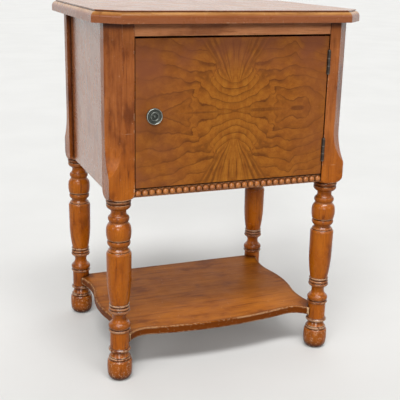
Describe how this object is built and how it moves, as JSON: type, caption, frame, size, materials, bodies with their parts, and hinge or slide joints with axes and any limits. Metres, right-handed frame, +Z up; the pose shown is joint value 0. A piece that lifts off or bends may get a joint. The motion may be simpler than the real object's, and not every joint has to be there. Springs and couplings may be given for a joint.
{
  "type": "side table",
  "caption": "Bedside cabinet on turned legs with a hinged veneered door, beaded lower rail, moulded clipped-corner top and a shaped lower shelf.",
  "frame": {"origin": "on the floor at the centre of the four legs", "axes": "+X to the right seen from the front, -Y out of the door's front, +Z up"},
  "size_m": [0.458, 0.368, 0.612],
  "materials": {
    "stained_walnut": "satin varnish",
    "polished_top": "gloss varnish",
    "figured_veneer": "gloss varnish",
    "plain_inner_wood": "matt",
    "dark_steel": "aged",
    "old_pewter": "aged"
  },
  "bodies": {
    "case": {"top": "polished_top", "side_panel_left": "stained_walnut", "side_panel_right": "stained_walnut", "back_panel": "plain_inner_wood", "front_top_rail": "stained_walnut", "rear_top_rail": "plain_inner_wood", "front_bottom_rail": "plain_inner_wood", "rear_bottom_rail": "plain_inner_wood", "bead_moulding": "stained_walnut", "bottom_board": "plain_inner_wood", "bottom_cleat_left": "plain_inner_wood", "bottom_cleat_right": "plain_inner_wood", "top_cleat_left": "plain_inner_wood", "top_cleat_right": "plain_inner_wood", "top_screws": "dark_steel", "door_stop": "plain_inner_wood", "lower_shelf": "polished_top", "shelf_dowels": "plain_inner_wood", "rail_dowels": "plain_inner_wood", "strike_plate": "dark_steel", "strike_pins": "dark_steel", "hinge_post_leaf_upper": "dark_steel", "hinge_post_leaf_lower": "dark_steel", "hinge_pin_upper": "dark_steel", "hinge_pin_lower": "dark_steel", "hinge_post_screws": "dark_steel", "leg_post_front_left": "stained_walnut", "leg_post_front_right": "stained_walnut", "leg_post_rear_left": "stained_walnut", "leg_post_rear_right": "stained_walnut"},
    "door": {"door_panel": "stained_walnut", "door_veneer": "figured_veneer", "hinge_door_leaf_upper": "dark_steel", "hinge_door_leaf_lower": "dark_steel", "hinge_door_screws": "dark_steel", "knob": "old_pewter", "knob_screw": "dark_steel", "catch_barrel": "dark_steel", "catch_spring": "dark_steel"},
    "bullet": {"catch_bullet": "dark_steel"}
  },
  "joints": [
    {"name": "door_hinge", "type": "hinge", "parent": "case", "child": "door", "pos_m": [0.16625, -0.165, 0.4539], "axis": [0, 0, 1], "range_deg": [0, 175]},
    {"name": "catch_slide", "type": "slide", "parent": "door", "child": "bullet", "axis": [1, 0, 0], "range_m": [0, 0.0023], "stiffness_N_per_m": 600, "springref_m": -0.002, "deforming": ["catch_spring"]}
  ]
}
